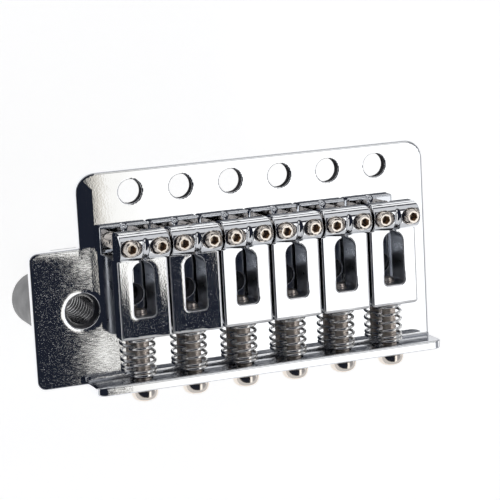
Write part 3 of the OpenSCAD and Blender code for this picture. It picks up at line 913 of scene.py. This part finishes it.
def add_camera():
    data = bpy.data.cameras.new("camera")
    data.lens = CAMERA_LENS
    data.sensor_width = 36
    camera = bpy.data.objects.new("camera", data)
    camera.location = Vector(CAMERA_PLACE) * MM
    camera.rotation_euler = [math.radians(a) for a in CAMERA_TURN]
    bpy.context.scene.collection.objects.link(camera)
    bpy.context.scene.camera = camera


def add_floor():
    """A white floor, which the camera sees with a trace of the object's shadow."""
    form = bmesh.new()
    bmesh.ops.create_circle(form, cap_ends=True, segments=96, radius=FLOOR_R * MM)
    mesh = bpy.data.meshes.new("floor")
    form.to_mesh(mesh)
    form.free()
    floor = bpy.data.objects.new("floor", mesh)
    floor.location = (0, -17 * MM, FLOOR_Z * MM)
    bpy.context.scene.collection.objects.link(floor)
    material, nodes, links, shader = new_material("floor")
    shader.inputs["Base Color"].default_value = (0.95, 0.95, 0.95, 1)
    shader.inputs["Roughness"].default_value = 0.9
    glow = nodes.new("ShaderNodeEmission")
    glow.inputs["Color"].default_value = (1, 1, 1, 1)
    glow.inputs["Strength"].default_value = FLOOR_GLOW
    rays = nodes.new("ShaderNodeLightPath")
    seen = nodes.new("ShaderNodeMath")
    seen.operation = "MULTIPLY_ADD"
    seen.inputs[1].default_value = GLOW_SHARE_CAMERA
    seen.inputs[2].default_value = GLOW_SHARE
    links.new(rays.outputs["Is Camera Ray"], seen.inputs[0])
    share = nodes.new("ShaderNodeMath")
    share.operation = "MULTIPLY_ADD"
    share.inputs[1].default_value = GLOW_SHARE_REFLECTED
    links.new(rays.outputs["Is Glossy Ray"], share.inputs[0])
    links.new(seen.outputs[0], share.inputs[2])
    mix = nodes.new("ShaderNodeMixShader")
    links.new(share.outputs[0], mix.inputs[0])
    links.new(shader.outputs[0], mix.inputs[1])
    links.new(glow.outputs[0], mix.inputs[2])
    links.new(mix.outputs[0], nodes["Material Output"].inputs["Surface"])
    mesh.materials.append(material)


# Colours of the light from each part of the surroundings
TENT_NEAR = (1.08, 1.065, 1.02)
TENT = (1.35, 1.35, 1.34)
TENT_ENDS = (0.66, 0.67, 0.69)
WARM_EDGE = (0.70, 0.66, 0.58)
OPENING = (0.013, 0.016, 0.026)
WALL = (0.34, 0.35, 0.38)
SCREEN = (0.10, 0.105, 0.12)
UPPER_LINE = (0.05, 0.05, 0.06)
LOWER_LINE = (0.06, 0.06, 0.07)
# Where along x the dark opening ends, and the warm edge beside it
OPENING_END = 0.2813
WARM_END = 0.2865


def add_world():
    """What the chrome reflects.

    It is a white tent with a dark opening overhead and to the left and a grey wall at the right.
    x runs from -1 at the left to 1 at the right, and tilt is the angle from straight up towards +y.
    The camera itself sees plain white.
    """
    world = bpy.data.worlds.new("tent")
    bpy.context.scene.world = world
    world.use_nodes = True
    nodes, links = world.node_tree.nodes, world.node_tree.links
    background = nodes["Background"]

    def math_node(operation, a, b=None):
        node = nodes.new("ShaderNodeMath")
        node.operation = operation
        for socket, value in zip(node.inputs, (a, b)):
            if value is None:
                continue
            if isinstance(value, (int, float)):
                socket.default_value = value
            else:
                links.new(value, socket)
        return node.outputs[0]

    def ramp(value, low, high):
        """0 below low and 1 above high, with a smooth step between."""
        node = nodes.new("ShaderNodeMapRange")
        node.interpolation_type = "SMOOTHSTEP"
        node.inputs["From Min"].default_value = low
        node.inputs["From Max"].default_value = high
        links.new(value, node.inputs["Value"])
        return node.outputs["Result"]

    def band(value, low, high, soft):
        """1 between low and high and 0 outside."""
        rise = ramp(value, low - soft / 2, low + soft / 2)
        fall = ramp(value, high - soft / 2, high + soft / 2)
        return math_node("SUBTRACT", rise, fall)

    def blend(share, a, b):
        node = nodes.new("ShaderNodeMix")
        node.data_type = "RGBA"
        links.new(share, node.inputs["Factor"])
        for socket, value in ((node.inputs["A"], a), (node.inputs["B"], b)):
            if isinstance(value, tuple):
                socket.default_value = (*value, 1)
            else:
                links.new(value, socket)
        return node.outputs["Result"]

    way = nodes.new("ShaderNodeSeparateXYZ")
    links.new(nodes.new("ShaderNodeTexCoord").outputs["Generated"], way.inputs[0])
    x, y, z = way.outputs
    tilt = math_node("DEGREES", math_node("ARCTAN2", y, z))
    white = blend(ramp(x, 0.285, 0.335), TENT_NEAR, TENT)
    colour = blend(ramp(math_node("ABSOLUTE", tilt), 52, 66), white, TENT_ENDS)
    opening = math_node("MULTIPLY", band(x, -0.97, OPENING_END, 0.004), band(tilt, -58, 48, 6))
    warm = math_node("MULTIPLY", band(x, OPENING_END, WARM_END, 0.004), band(tilt, -58, 3, 6))
    colour = blend(warm, colour, WARM_EDGE)
    colour = blend(opening, colour, OPENING)
    wall = math_node("MULTIPLY", band(x, 0.55, 0.92, 0.06), band(tilt, -60, 50, 6))
    colour = blend(wall, colour, WALL)
    screen = math_node("MULTIPLY", band(x, 0.2, 0.9, 0.02), band(tilt, 4, 19, 4))
    colour = blend(screen, colour, SCREEN)
    colour = blend(band(tilt, 44, 60, 4), colour, UPPER_LINE)
    colour = blend(band(tilt, 93, 112, 6), colour, LOWER_LINE)
    rays = nodes.new("ShaderNodeLightPath").outputs["Is Camera Ray"]
    colour = blend(rays, colour, (1.0, 1.0, 1.0))
    links.new(colour, background.inputs["Color"])


add_camera()
add_floor()
add_world()
bpy.context.scene.view_settings.view_transform = "Standard"
